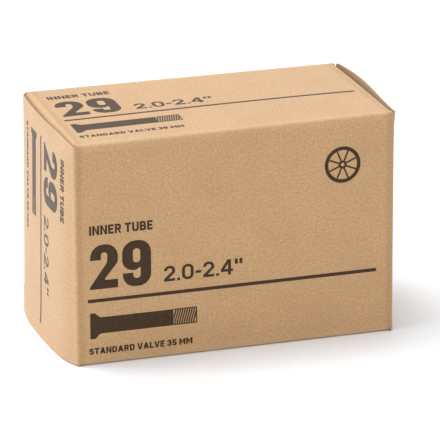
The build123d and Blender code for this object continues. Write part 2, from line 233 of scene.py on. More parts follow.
def make_metal(name, light, dark, rough):
    graph = Graph(name)
    place = graph.place()
    turned = graph.noise(graph.scaled(place, 9, 0.6, 0.6), 1.0, 2.0)
    stain = graph.noise(place, 0.5, 3.0)
    base = graph.mix(graph.ramp(stain, 0.35, 0.75), light, dark)
    graph.shader(Base_Color=base, Metallic=1.0, Roughness=graph.ramp(turned, 0.3, 0.7, rough, rough + 0.16),
                 Normal=graph.bump(turned, 0.00002, 0.4))
    return graph.material


def make_moulded(name, colour, other, rough, scale):
    """Moulded plastic or rubber with a fine spark-eroded grain."""
    graph = Graph(name)
    place = graph.place()
    grain = graph.noise(place, scale, 3.0, 0.6)
    shade = graph.noise(place, 0.25, 2.0)
    base = graph.mix(graph.ramp(shade, 0.3, 0.7), colour, other)
    graph.shader(Base_Color=base, Roughness=graph.ramp(grain, 0.3, 0.7, rough, rough + 0.14),
                 Specular_IOR_Level=0.45, Normal=graph.bump(grain, 0.00004, 0.45))
    return graph.material


kraft_out = make_kraft("kraft_outside", (0.59, 0.368, 0.187, 1), (0.395, 0.232, 0.106, 1),
                       (0.69, 0.46, 0.255, 1), 0.5)
# The inside face is partly the board's own colour and partly painted light: its deep orange-brown stands in for
# warm light bounced about in the carton's gaps.
kraft_in = make_kraft("kraft_inside", (0.42, 0.235, 0.102, 1), (0.33, 0.175, 0.072, 1),
                      (0.52, 0.32, 0.155, 1), 0.3)
raw_edge = make_raw_edge()
ink = make_ink()
butyl = make_butyl("butyl_talced", 0.5)
butyl_clean = make_butyl("butyl_moulded", 0.16)
band_rubber = make_moulded("band_rubber", (0.50, 0.27, 0.11, 1), (0.43, 0.22, 0.085, 1), 0.42, 1.6)
nickel = make_metal("nickelled_brass", (0.72, 0.68, 0.60, 1), (0.62, 0.55, 0.43, 1), 0.2)
brass = make_metal("turned_brass", (0.78, 0.58, 0.27, 1), (0.62, 0.43, 0.18, 1), 0.24)
steel = make_metal("spring_wire", (0.62, 0.62, 0.60, 1), (0.48, 0.48, 0.47, 1), 0.26)
seal_red = make_moulded("seal_polymer", (0.34, 0.035, 0.025, 1), (0.28, 0.03, 0.02, 1), 0.4, 4.0)
cap_black = make_moulded("cap_polymer", (0.020, 0.020, 0.021, 1), (0.028, 0.028, 0.029, 1), 0.34, 5.0)
washer_grey = make_moulded("washer_rubber", (0.05, 0.05, 0.052, 1), (0.04, 0.04, 0.04, 1), 0.6, 3.0)


# ------------------------------------------------------------------ meshes

def add_object(name, mesh, materials):
    made = bpy.data.objects.new(name, mesh)
    scene.collection.objects.link(made)
    for material in materials:
        mesh.materials.append(material)
    return made


def smooth(mesh, angle):
    mesh.polygons.foreach_set("use_smooth", np.ones(len(mesh.polygons), bool))
    mesh.set_sharp_from_angle(angle=radians(angle))
    mesh.update()


def write_uv(mesh, flat):
    """Lays each vertex's flat board coordinates, in millimetres, into the map the board's pattern reads."""
    layer = mesh.uv_layers.new(name="blank")
    loops = np.empty(len(mesh.loops), np.int32)
    mesh.loops.foreach_get("vertex_index", loops)
    layer.data.foreach_set("uv", (flat[loops] / 100).astype(np.float32).ravel())


def grid_faces(rows, cols, start=0, flip=False):
    faces = []
    for i in range(rows - 1):
        for j in range(cols - 1):
            a = start + i * cols + j
            face = (a, a + 1, a + cols + 1, a + cols)
            faces.append(face[::-1] if flip else face)
    return faces


def rim(rows, cols):
    """The grid's outline as vertex numbers, in order round it."""
    first = [j for j in range(cols)]
    right = [i * cols + cols - 1 for i in range(1, rows)]
    last = [(rows - 1) * cols + j for j in range(cols - 2, -1, -1)]
    left = [i * cols for i in range(rows - 2, 0, -1)]
    return first + right + last + left


def ring_mesh(name, points, sides):
    """A closed tube from points in millimetres, in rings of that many, the last ring joined to the first."""
    count = len(points) // sides
    faces = [(i * sides + j, i * sides + (j + 1) % sides, (i + 1) % count * sides + (j + 1) % sides,
              (i + 1) % count * sides + j) for i in range(count) for j in range(sides)]
    mesh = bpy.data.meshes.new(name)
    mesh.from_pydata((np.array(points) * MM).tolist(), [], faces)
    return mesh


def face_outwards(mesh):
    """Turns a closed mesh's faces to look outwards."""
    made = bmesh.new()
    made.from_mesh(mesh)
    bmesh.ops.recalc_face_normals(made, faces=made.faces)
    made.to_mesh(mesh)
    made.free()


def board_piece(name, outer, flat, wear_and_shade, outward):
    """A solid sheet of board from a grid of points on its printed side. outward is about which way that side
    faces at the middle of the grid."""
    outer, flat, wear_and_shade = np.array(outer), np.array(flat), np.array(wear_and_shade)
    rows, cols = outer.shape[:2]
    along = np.gradient(outer, axis=1)
    up = np.gradient(outer, axis=0)
    normal = np.cross(along, up)
    normal /= np.linalg.norm(normal, axis=2, keepdims=True)
    flip = float(normal[rows // 2, cols // 2] @ np.array(outward)) < 0
    if flip:
        normal = -normal
    inner = outer - BOARD * normal
    count = rows * cols
    faces = grid_faces(rows, cols, 0, flip) + grid_faces(rows, cols, count, not flip)
    sides = (rows - 1) * (cols - 1)
    loop = rim(rows, cols)
    walls = []
    for a, b in zip(loop, loop[1:] + loop[:1]):
        wall = (a, a + count, b + count, b)
        walls.append(wall[::-1] if flip else wall)
    mesh = bpy.data.meshes.new(name)
    points = np.concatenate([outer.reshape(-1, 3), inner.reshape(-1, 3)]) * MM
    mesh.from_pydata(points.tolist(), [], faces + walls)
    slots = np.zeros(len(mesh.polygons), np.int32)
    slots[sides:2 * sides] = 1
    slots[2 * sides:] = 2
    mesh.polygons.foreach_set("material_index", slots)
    write_uv(mesh, np.concatenate([flat.reshape(-1, 2)] * 2))
    fold_marks = mesh.attributes.new("wear_and_shade", "FLOAT", "POINT")
    fold_marks.data.foreach_set("value", np.concatenate([wear_and_shade.ravel()] * 2).astype(np.float32))
    smooth(mesh, 45)
    return add_object(name, mesh, (kraft_out, kraft_in, raw_edge))


def spread(edges, step, fine=()):
    """Stations from the first edge to the last, about step apart, passing through each edge. A span named in
    fine is cut into 8."""
    out = [edges[0]]
    for k, (a, b) in enumerate(zip(edges, edges[1:])):
        parts = 8 if k in fine else max(1, round((b - a) / step))
        out += [a + (b - a) * i / parts for i in range(1, parts + 1)]
    return np.array(out)


# ------------------------------------------------------------------ the sleeve

class Wrap:
    """The sleeve's printed side in section: straight panels joined by round folds, followed by distance."""

    def __init__(self, corners, radius):
        self.spans = []
        self.edges = [0.0]
        here = np.array(corners[0], float)
        for before, corner, after in zip(corners, corners[1:], corners[2:]):
            way = np.sign(np.array(corner, float) - before)
            turn = np.sign(np.array(after, float) - corner)
            stop = np.array(corner, float) - way * radius
            self.line(here, stop)
            self.spans.append(("fold", stop - radius * np.array([-way[1], way[0]]), way, radius))
            self.edges.append(self.edges[-1] + radius * pi / 2)
            here = np.array(corner, float) + turn * radius
        self.line(here, np.array(corners[-1], float))

    def line(self, start, stop):
        length = float(np.abs(stop - start).sum())
        self.spans.append(("panel", start, np.sign(stop - start), length))
        self.edges.append(self.edges[-1] + length)

    def at(self, s):
        """(point, outward normal, panel number or None, share of the way along the span)"""
        k = min(len(self.spans) - 1, max(0, int(np.searchsorted(self.edges, s, side="right")) - 1))
        kind, start, way, size = self.spans[k]
        done = s - self.edges[k]
        left = np.array([-way[1], way[0]])
        if kind == "panel":
            return start + way * done, left, k // 2, done / size
        angle = done / size
        out = left * cos(angle) + way * sin(angle)
        return start + size * out, out, None, angle / (pi / 2)


GLUE_WIDTH = 12.0
wrap = Wrap([(HIGH_Y - 0.35, 0), (LOW_Y, 0), (LOW_Y, HEIGHT), (HIGH_Y, HEIGHT), (HIGH_Y, BOARD),
             (HIGH_Y - SLEEVE_FOLD - GLUE_WIDTH, BOARD)], SLEEVE_FOLD)
SWELL = (-0.12, 0.4, 0.05, 0.6, 0.0)  # of the bottom, front, top, back and glue flap
PLAIN_END = SIDE_X - END_FOLD
DUST_END = HINGE_X - 1.9
BACK_END = HINGE_X - BOARD
FOLD_MIDDLES = [(wrap.edges[k] + wrap.edges[k + 1]) / 2 for k in (1, 3, 5, 7)]


def settled(x, y, z):
    """Where a point of a perfectly square carton lies on this one, whose top leans and swells a little."""
    right = (x / SIDE_X + 1) / 2
    back = (y - LOW_Y) / DEPTH
    lean = (-0.75 + 1.5 * back) * (1 - right) + (0.35 + 0.2 * back) * right
    inside = max(0.0, 1 - (x / SIDE_X) ** 2) * max(0.0, 1 - (2 * back - 1) ** 2)
    return (x, y, z + (lean + (0.1 + 0.45 * right) * inside) * max(0.0, z / HEIGHT) ** 2)


def half_length(s):
    """How far the sleeve reaches each way along X at that distance round it."""
    bottom, front, top, back = FOLD_MIDDLES
    keys = [0, bottom - 0.4, bottom + 0.4, front, front + 0.3, front + 1.5, front + 3.0, top - 0.9, top + 0.1,
            top + 0.8, top + 6, back, wrap.edges[-1]]
    ends = [DUST_END, DUST_END, PLAIN_END, PLAIN_END, SIDE_X - 0.75, SIDE_X - 0.9, DUST_END, DUST_END,
            SIDE_X - 0.5, SIDE_X + 0.2, SIDE_X - 0.3, BACK_END - 2.4, BACK_END - 5.6]
    return float(np.interp(s, keys, ends))


def sleeve_point(x, s, lift=0.0):
    """A point on the sleeve's printed side. x is along the carton and s the distance round it."""
    point, out, panel, share = wrap.at(s)
    swell = lift
    if panel is not None:
        across = min(1.0, abs(x) / (SIDE_X + 1.0))
        swell += SWELL[panel] * sin(pi * share) ** 2 * (1 - across ** 4)
        if panel == 3:
            swell += 0.35 * across ** 6 * sin(pi * share)
    point = point + out * swell
    return settled(x, point[0], point[1])


def sleeve_wear_and_shade(share, s):
    """Scuffed along the four folds. Darker in a strip about 2 mm wide beside the two ends, which is painted
    shade.
    """
    folds = sum(exp(-((s - m) / 1.1) ** 2) for m in FOLD_MIDDLES)
    return min(1.0, folds - 0.8 * exp(-(((1 - abs(share)) * SIDE_X) / 2.0) ** 4))


stations = spread(wrap.edges, 3.0, (1, 3, 5, 7))
ends = np.array([0.955, 0.965, 0.975, 0.985, 0.993, 1])
shares = np.concatenate([-ends[::-1], np.linspace(-0.94, 0.94, 41), ends])
outer = [[sleeve_point(share * half_length(s), s) for share in shares] for s in stations]
flat = [[(share * half_length(s), s) for share in shares] for s in stations]
wear_and_shade = [[sleeve_wear_and_shade(share, s) for share in shares] for s in stations]
sleeve = board_piece("sleeve_board", outer, flat, wear_and_shade, (0, -1, 0))
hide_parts("front_panel", "top_panel", "back_panel", "bottom_panel", "glue_flap")
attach(sleeve, "sleeve")

FRONT_START = wrap.edges[2] - SLEEVE_FOLD
TOP_START = wrap.edges[4] - SLEEVE_FOLD
BACK_START = wrap.edges[6] - SLEEVE_FOLD


# ------------------------------------------------------------------ end closures

CLOSURE_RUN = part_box("left_closure_panel")[1][1] / MM - LOW_Y - TUCK_FOLD  # to where the tuck fold begins
ROUND_FOLD = END_FOLD * pi / 2
CLOSURE_LENGTH = 68.0  # roughly, to space out its stations
CLOSURE_EDGE = 0.3
SLIT = 10.0
CORNER = 1.6
TAB = (2.6, 0.4, 2.2)  # the slit corners' run past the tuck fold: left lower, left upper, both right
END_Y = LOW_Y + CLOSURE_RUN


def stands_off(side, y, z):
    """How far a closure stands off the carton's end. Its raw edges have sprung out more than its middle."""
    share = min(1.0, max(0.0, (y - LOW_Y - END_FOLD) / DEPTH))
    height = z / HEIGHT
    if side < 0:
        top = 1.75 * (1 - exp(-(9 * share) ** 1.2)) - 1.3 * share ** 8
        bottom = 3.4 * (1 - exp(-(13 * share) ** 1.2)) - 1.7 * share ** 9
        curl_top = (1 - exp(-9 * share)) * (0.25 - 1.35 * exp(-((share - 0.2) / 0.2) ** 2))
        curl_bottom = 1.4 * sin(pi * share ** 1.4)
    else:
        top = 0.1 + 0.9 * share + 1.3 * sin(pi * share ** 1.6)
        bottom = 2.2 * share + 0.7 * sin(pi * share)
        curl_top = 0.55 * (1 - share) + 0.95 * sin(pi * share ** 1.6)
        curl_bottom = 0.5 * sin(pi * share)
    curls = curl_top * exp((z - HEIGHT) / 5) + curl_bottom * exp(-z / 3)
    return bottom + (top - bottom) * height + curls


def closure_point(side, q, z, lift=0.0):
    """A point on a closure's printed side. q is the distance from the front panel, round the fold and on."""
    if q < ROUND_FOLD:
        angle = q / END_FOLD
        reach = END_FOLD + lift
        x = PLAIN_END + reach * sin(angle) + stands_off(side, LOW_Y, z) * sin(angle) ** 2
        return settled(side * x, LOW_Y + END_FOLD - reach * cos(angle), z)
    y = LOW_Y + END_FOLD + q - ROUND_FOLD
    x = SIDE_X + stands_off(side, y, z)
    slope = (stands_off(side, y + 0.5, z) - stands_off(side, y - 0.5, z))
    size = hypot(1, slope)
    return settled(side * (x + lift / size), y - lift * slope / size, z)


def closure_reach(side, z):
    """Where the closure's far edge is at height z: at the tuck fold, or past it at the two slit corners."""
    low, high = CLOSURE_EDGE, HEIGHT - CLOSURE_EDGE
    fold = ROUND_FOLD + END_Y - LOW_Y - END_FOLD
    if low + SLIT - CLOSURE_EDGE <= z <= high - SLIT + CLOSURE_EDGE:
        return fold
    into = max(0.0, max(low + CORNER - z, z - high + CORNER))
    tab = TAB[2 if side > 0 else int(z > HEIGHT / 2)]
    return fold + tab - CORNER + sqrt(max(0.0, CORNER ** 2 - into ** 2))


def raw_edge_heights(low, high, corner, slit):
    """Heights of a closure's or tuck flap's rows, close together round its corners and at its slits."""
    ends = [low + corner * (1 - cos(radians(a))) for a in range(0, 90, 9)]
    middle = list(np.linspace(low + corner, high - corner, 28))
    cuts = [low + slit - 0.08, low + slit + 0.08, high - slit - 0.08, high - slit + 0.08]
    return np.array(sorted(ends + middle + cuts + [low + high - e for e in ends]))


def make_closure(side, word):
    low, high = CLOSURE_EDGE, HEIGHT - CLOSURE_EDGE
    heights = raw_edge_heights(low, high, CORNER, SLIT - CLOSURE_EDGE)
    fold_share = ROUND_FOLD / CLOSURE_LENGTH
    steps = np.concatenate([np.linspace(0, fold_share, 9)[:-1], np.linspace(fold_share, 1, 26)])
    outer, flat, wear_and_shade = [], [], []
    for z in heights:
        reach = closure_reach(side, z)
        row = [share * reach for share in steps]
        flare = 0.25 * max(0.0, abs(z - HEIGHT / 2) / (HEIGHT / 2) - 0.93) / 0.07
        lifts = [flare * exp(-((q - ROUND_FOLD / 2) / 1.6) ** 2) for q in row]
        outer.append([closure_point(side, q, z, lift) for q, lift in zip(row, lifts)])
        flat.append([(side * (PLAIN_END + q), FRONT_START + z) for q in row])
        edge = exp(-((min(z - low, high - z)) / 0.9) ** 2)
        # Scuffs along the raw edges and the far edge; the last term is painted shade, darker along the fold at
        # the front panel.
        wear_and_shade.append([min(1.0, 0.4 * edge + 0.8 * exp(-((reach - q) / 1.2) ** 2)
                           - 0.9 * exp(-((q + 0.3) / 0.9) ** 2)) for q in row])
    piece = board_piece(f"{word}_closure_board", outer, flat, wear_and_shade, (side, 0, 0))
    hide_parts(f"{word}_closure_panel")
    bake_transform(piece)


# ------------------------------------------------------------------ tuck flaps

TUCK_TURN = radians(98)
TUCK_ROUND = TUCK_FOLD * TUCK_TURN
TUCK_LENGTH = 14.4
TUCK_EDGE = 1.6
TUCK_CORNER = 9.0


def tuck_point(side, q, z):
    """A point on a tuck flap's printed side, q from where its fold begins."""
    x = SIDE_X + stands_off(side, END_Y, z) - TUCK_FOLD
    angle = min(q / TUCK_FOLD, TUCK_TURN)
    run = max(0.0, q - TUCK_ROUND)
    x += TUCK_FOLD * cos(angle) - run * sin(TUCK_TURN)
    y = END_Y + TUCK_FOLD * sin(angle) + run * cos(TUCK_TURN) - 0.0015 * run * run
    return settled(side * x, y, z)


def make_tuck(side, word):
    low, high = TUCK_EDGE, HEIGHT - TUCK_EDGE
    heights = raw_edge_heights(low, high, TUCK_CORNER, SLIT - TUCK_EDGE)
    steps = np.concatenate([np.linspace(0, TUCK_ROUND, 9)[:-1], np.linspace(TUCK_ROUND, TUCK_LENGTH, 15)])
    steps = steps / TUCK_LENGTH
    outer, flat, wear_and_shade = [], [], []
    for z in heights:
        fold = low + SLIT - TUCK_EDGE <= z <= high - SLIT + TUCK_EDGE
        start = 0.0 if fold else TUCK_ROUND + 0.5
        into = max(0.0, max(low + TUCK_CORNER - z, z - high + TUCK_CORNER))
        stop = TUCK_LENGTH - TUCK_CORNER + sqrt(max(0.0, TUCK_CORNER ** 2 - into ** 2))
        row = [start + share * (stop - start) for share in steps]
        outer.append([tuck_point(side, q, z) for q in row])
        flat.append([(side * (PLAIN_END + ROUND_FOLD + CLOSURE_RUN + q), FRONT_START + z) for q in row])
        wear_and_shade.append([min(1.0, exp(-((q - TUCK_ROUND / 2) / 1.0) ** 2) + 0.4 * exp(-((stop - q) / 0.8) ** 2))
                       for q in row])
    piece = board_piece(f"{word}_tuck_board", outer, flat, wear_and_shade, (0, 1, 0))
    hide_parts(f"{word}_tuck_flap")
    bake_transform(piece)


# ------------------------------------------------------------------ dust flaps

BOTTOM_PATTERN = 300  # where in the board's pattern the bottom flaps' own starts


def make_dust(side, word, up, place):
    """up is 1 for the flap hanging from the top panel and -1 for the one standing on the bottom panel."""
    low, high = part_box(f"{word}_dust_flap_{place}")
    run = (high[2] - low[2]) / MM - 0.4
    front, back = low[1] / MM, high[1] / MM
    edge_z = HEIGHT if up > 0 else 0.0
    round_rows = np.linspace(0, ROUND_FOLD, 9)[:-1]
    flat_rows = ROUND_FOLD + run * np.linspace(0, 1, 15)[:-1] * 0.9
    corner_rows = ROUND_FOLD + run - 4 * np.cos(np.radians(np.arange(25, 91, 13)))
    rows = np.sort(np.concatenate([round_rows, flat_rows, corner_rows]))
    shares = np.linspace(0, 1, 26)
    outer, flat, wear_and_shade = [], [], []
    for q in rows:
        done = max(0.0, q - ROUND_FOLD)
        near = front - 0.9 * max(0.0, 1 - q / 2.2) + max(0.0, done - 0.6) * tan(radians(30))
        if up > 0:
            far = float(np.interp(q, (0, 1.2, 2.0, 3.2), (HIGH_Y - 0.75, HIGH_Y - 1.0, HIGH_Y - 1.6, back)))
        else:
            far = back + (HIGH_Y - 0.75 - back) * max(0.0, 1 - q / 3)
        far -= max(0.0, done - 0.6) * tan(radians(15))
        into = max(0.0, 4 - (run - done))
        round_off = 4 - sqrt(max(0.0, 16 - into ** 2))
        near, far = near + round_off, far - round_off
        angle = min(q, ROUND_FOLD) / END_FOLD
        x = DUST_END + END_FOLD * sin(angle) - 0.6 * (done / run) ** 2
        z = edge_z + up * (-END_FOLD + END_FOLD * cos(angle) - done)
        row = [near + (far - near) * share for share in shares]
        turned = min(1.0, q / 2.6) * (up > 0)
        follow = (0.8 if side < 0 else 0.3) * turned
        spring = 0.5 * turned * (side > 0)
        outer.append([settled(side * (x + follow * stands_off(side, y, z) + spring * (0.5 - y / DEPTH)), y, z)
                      for y in row])
        flat.append([(side * (DUST_END + q), (TOP_START if up > 0 else BOTTOM_PATTERN) + y - LOW_Y) for y in row])
        wear = 0.35 * exp(-((q - ROUND_FOLD / 2) / 1.2) ** 2)
        wear += 0.5 * exp(-((ROUND_FOLD + run - q) / 0.8) ** 2)
        wear_and_shade.append([min(1.0, wear)] * len(shares))
    piece = board_piece(f"{word}_dust_{place}_board", outer, flat, wear_and_shade, (side, 0, 0))
    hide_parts(f"{word}_dust_flap_{place}")
    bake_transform(piece)


for side, word in ((-1, "left"), (1, "right")):
    make_closure(side, word)
    make_tuck(side, word)
    make_dust(side, word, 1, "top")
    make_dust(side, word, -1, "bottom")


# ------------------------------------------------------------------ the print

def rounded_outline(corners):
    """A closed outline of (x, z) or (x, z, radius) corners, with each corner turned on its radius."""
    out = []
    count = len(corners)
    for k in range(count):
        before, corner, after = (Vector(corners[(k + d) % count][:2]) for d in (-1, 0, 1))
        radius = corners[k][2] if len(corners[k]) > 2 else 0
        if radius == 0:
            out.append(tuple(corner))
            continue
        to_before = (before - corner).normalized()
        to_after = (after - corner).normalized()
        half = to_before.angle(to_after) / 2
        trim = radius / tan(half)
        centre = corner + (to_before + to_after).normalized() * (radius / sin(half))
        start, stop = corner + to_before * trim, corner + to_after * trim
        first = atan2(start.y - centre.y, start.x - centre.x)
        turn = (atan2(stop.y - centre.y, stop.x - centre.x) - first + pi) % (2 * pi) - pi
        angles = [first + turn * i / 10 for i in range(11)]
        out += [(centre.x + radius * cos(a), centre.y + radius * sin(a)) for a in angles]
    return out


def ring(x, z, radius):
    return [(x + radius * cos(radians(a)), z + radius * sin(radians(a))) for a in range(0, 360, 6)]


def box_outline(x0, z0, x1, z1):
    return [(x0, z0), (x1, z0), (x1, z1), (x0, z1)]


def outline_mesh(outlines):
    """Fills closed outlines, and leaves what lies inside a second one open."""
    curve = bpy.data.curves.new("outline", "CURVE")
    curve.dimensions = "2D"
    curve.fill_mode = "FRONT"
    for outline in outlines:
        spline = curve.splines.new("POLY")
        spline.points.add(len(outline) - 1)
        for point, (x, z) in zip(spline.points, outline):
            point.co = (x, z, 0, 1)
        spline.use_cyclic_u = True
    return curve_to_bmesh(curve)


def curve_to_bmesh(curve):
    holder = bpy.data.objects.new("holder", curve)
    scene.collection.objects.link(holder)
    bpy.context.view_layer.update()
    mesh = bpy.data.meshes.new_from_object(holder.evaluated_get(bpy.context.evaluated_depsgraph_get()))
    bpy.data.objects.remove(holder)
    bpy.data.curves.remove(curve)
    made = bmesh.new()
    made.from_mesh(mesh)
    bpy.data.meshes.remove(mesh)
    bmesh.ops.remove_doubles(made, verts=made.verts, dist=1e-4)
    return made


def letters(t):
    """Plain capitals and figures, ten units high, of strokes t wide: each one's width and closed outlines."""
    low = 5 - t / 2
    high = low + t
    top = 10 - t
    r = 2.7
    i = r - t * 0.85
    bar = [(0, 0), (t, 0), (t, 10), (0, 10)]
    return {
        " ": (1.5, []),
        "I": (t, [bar]),
        "L": (5.5, [[(0, 0), (5.5, 0), (5.5, t), (t, t), (t, 10), (0, 10)]]),
        "E": (5.8, [[(0, 0), (5.8, 0), (5.8, t), (t, t), (t, low), (5.3, low), (5.3, high),
                     (t, high), (t, top), (5.8, top), (5.8, 10), (0, 10)]]),
        "T": (6.6, [[(3.3 - t / 2, 0), (3.3 + t / 2, 0), (3.3 + t / 2, top), (6.6, top), (6.6, 10),
                     (0, 10), (0, top), (3.3 - t / 2, top)]]),
        "N": (7.2, [[(0, 0), (t, 0), (t, 6.5), (7.2 - t, 0), (7.2, 0), (7.2, 10), (7.2 - t, 10),
                     (7.2 - t, 3.5), (t, 10), (0, 10)]]),
        "M": (8.8, [[(0, 0), (t, 0), (t, 6.2), (3.8, 2.0), (5.0, 2.0), (8.8 - t, 6.2), (8.8 - t, 0),
                     (8.8, 0), (8.8, 10), (8.7 - t, 10), (4.4, 4.7), (t + 0.1, 10), (0, 10)]]),
        "U": (7.0, [[(0, 10), (0, 0, 3), (7, 0, 3), (7, 10), (7 - t, 10), (7 - t, t, i), (t, t, i),
                     (t, 10)]]),
        "V": (7.6, [[(3.8 - 0.6 * t, 0), (3.8 + 0.6 * t, 0), (7.6, 10), (7.5 - t, 10), (3.8, 2.7),
                     (t + 0.1, 10), (0, 10)]]),
        "A": (7.6, [[(0, 0), (t + 0.1, 0), (t + 0.8, 2.0), (6.8 - t, 2.0), (7.5 - t, 0), (7.6, 0),
                     (3.8 + 0.6 * t, 10), (3.8 - 0.6 * t, 10)],
                    [(t + 1.3, 2.0 + t), (6.3 - t, 2.0 + t), (3.8, 7.6)]]),
        "D": (7.0, [[(0, 0), (7, 0, 3.5), (7, 10, 3.5), (0, 10)],
                    [(t, t), (7 - t, t, 3.5 - t), (7 - t, top, 3.5 - t), (t, top)]]),
        "B": (6.6, [[(0, 0), (6.6, 0, 2.4), (6.6, 5.2, 1.0), (6.2, 5.2), (6.2, 10, 2.2), (0, 10)],
                    [(t, t), (6.6 - t, t, 0.7), (6.6 - t, low, 0.7), (t, low)],
                    [(t, high), (6.2 - t, high, 0.6), (6.2 - t, top, 0.6), (t, top)]]),
        "R": (6.8, [[(0, 0), (t, 0), (t, 3.7), (3.0, 3.7), (4.8, 0), (6.8, 0), (4.8, 3.9),
                     (6.5, 4.2, 1.4), (6.5, 10, 2.6), (0, 10)],
                    [(t, 3.7 + t), (6.5 - t, 3.7 + t, 0.6), (6.5 - t, top, 1.0), (t, top)]]),
        "S": (6.2, [[(0, 3.1), (0, 0, r), (6.2, 0, r), (6.2, high, r), (t, high, 0.6), (t, top, 0.6),
                     (6.2 - t, top, 0.6), (6.2 - t, 6.9), (6.2, 6.9), (6.2, 10, r), (0, 10, r), (0, low, r),
                     (6.2 - t, low, 0.6),
                     (6.2 - t, t, 0.6), (t, t, 0.6), (t, 3.1)]]),
        "0": (6.6, [[(0, 0, 3.2), (6.6, 0, 3.2), (6.6, 10, 3.2), (0, 10, 3.2)],
                    [(t, t, 3.2 - t), (6.6 - t, t, 3.2 - t), (6.6 - t, top, 3.2 - t), (t, top, 3.2 - t)]]),
        "2": (6.2, [[(0, 0), (6.2, 0), (6.2, t), (t + 0.9, t), (6.2, 5.6, 1.0), (6.2, 10, 3), (0, 10, 3),
                     (0, 6.8), (t, 6.8), (t, top, i), (6.2 - t, top, i), (6.2 - t, 6.2, 0.5), (0, 1.6)]]),
        "3": (6.2, [[(0, 3.0), (0, 0, r), (6.2, 0, r), (6.2, 5.2, 1.0), (5.8, 5.2), (5.8, 10, 2.4),
                     (0, 10, r), (0, 7.0), (t, 7.0), (t, top, 0.6), (5.8 - t, top, 0.6), (5.8 - t, high, 0.6),
                     (2.2, high),
                     (2.2, low), (6.2 - t, low, 0.6), (6.2 - t, t, 0.6), (t, t, 0.6), (t, 3.0)]]),
        "4": (6.8, [[(4.0, 0), (4.0 + t, 0), (4.0 + t, 2.1), (6.8, 2.1), (6.8, 2.1 + t),
                     (4.0 + t, 2.1 + t), (4.0 + t, 10), (3.6, 10), (0, 2.0 + t), (0, 2.1), (4.0, 2.1)],
                    [(1.9, 2.1 + t), (4.0, 2.1 + t), (4.0, 7.2)]]),
        "5": (6.2, [[(0, 2.8), (0, 0, r), (6.2, 0, r), (6.2, 6.3, r), (t, 6.3), (t, top), (5.8, top),
                     (5.8, 10), (0, 10), (0, 6.3 - t), (6.2 - t, 6.3 - t, 0.6), (6.2 - t, t, 0.6),
                     (t, t, 0.6),
                     (t, 2.8)]]),
        ".": (t, [[(0, 0), (t, 0), (t, t), (0, t)]]),
        "-": (3.2, [[(0, 3.4), (3.2, 3.4), (3.2, 3.4 + t), (0, 3.4 + t)]]),
        "\"": (2 * t + 0.9, [[(x, 6.6), (x + t, 6.6), (x + t, 10), (x, 10)] for x in (0, t + 0.9)])}


def word_parts(text, x0, z0, x1, z1, stroke):
    """A line of capitals or figures that fills the box."""
    drawn = letters(stroke)
    gap = 1.1
    total = sum(drawn[c][0] + gap for c in text) - gap
    across, up = (x1 - x0) / total, (z1 - z0) / 10
    parts = []
    for c in text:
        width, outlines = drawn[c]
        if outlines:
            placed = [[(x0 + x * across, z0 + z * up) for x, z in rounded_outline(o)] for o in outlines]
            parts.append(outline_mesh(placed))
        x0 += (width + gap) * across
    return parts


TWO = [(5.75, 41.8), (5.75, 47.9, 5.0), (16.5, 47.9, 5.0), (16.5, 40.4, 3.0), (10.9, 33.6, 0.5), (16.5, 33.6),
       (16.5, 30.2), (5.5, 30.2), (5.5, 31.1, 0.3), (12.3, 40.6, 1.8), (12.5, 44.8, 1.4), (9.9, 44.8, 1.3),
       (9.9, 41.8)]
NINE = [(18.4, 35.4), (18.4, 29.9, 4.8), (29.5, 29.9, 4.8), (29.5, 48.2, 5.0), (18.2, 48.2, 5.0),
        (18.2, 36.4, 4.4), (23.6, 36.4, 1.2), (25.4, 37.6, 0.2), (25.4, 33.1, 1.3), (22.5, 33.1, 1.3),
        (22.5, 35.4)]
NINE_EYE = [(22.4, 39.4, 1.4), (25.3, 39.4, 1.4), (25.3, 45.0, 1.4), (22.4, 45.0, 1.4)]


def valve_drawing(scale):
    """The printed valve: its foot and covered stem in solid ink, its bare thread as slanting strokes in a
    box. The first and last strokes are cut off by the box."""
    solid = [(0, -5.2, 0.3), (1.9, -5.2, 1.2), (3.9, -3.2, 2.2), (32.8, -3.2), (32.8, 3.3), (3.9, 3.3, 2.2),
             (1.9, 5.2, 1.2), (0, 5.2, 0.3)]
    marks = [rounded_outline(solid), box_outline(41.75, -2.75, 42.2, 2.95),
             box_outline(32.9, -3.2, 42.2, -2.75), box_outline(32.9, 2.95, 42.2, 3.4)]
    for k in range(8):
        x = 32.95 + 0.93 * k
        marks.append([(x, -2.7), (x + 0.6, -2.7), (x + 2.1, 2.9), (x + 1.5, 2.9)])
    marks.append([(32.9, -1.65), (34.12, 2.9), (33.52, 2.9), (32.9, 0.59)])
    marks.append([(40.39, -2.7), (40.99, -2.7), (41.75, 0.14), (41.75, 2.38)])
    return [outline_mesh([[(5.4 + x * scale, 15.5 + z * scale) for x, z in m]]) for m in marks]


def wheel_mark(x, z, size):
    """A plain spoked wheel."""
    parts = [outline_mesh([ring(x, z, size), ring(x, z, size * 0.80)]),
             outline_mesh([ring(x, z, size * 0.23), ring(x, z, size * 0.10)])]
    for k in range(8):
        way = Vector((cos(pi * k / 4 + pi / 8), sin(pi * k / 4 + pi / 8)))
        side = Vector((-way.y, way.x)) * size * 0.045
        near, far = Vector((x, z)) + way * size * 0.235, Vector((x, z)) + way * size * 0.795
        parts.append(outline_mesh([[tuple(p) for p in (near - side, far - side, far + side, near + side)]]))
    return parts


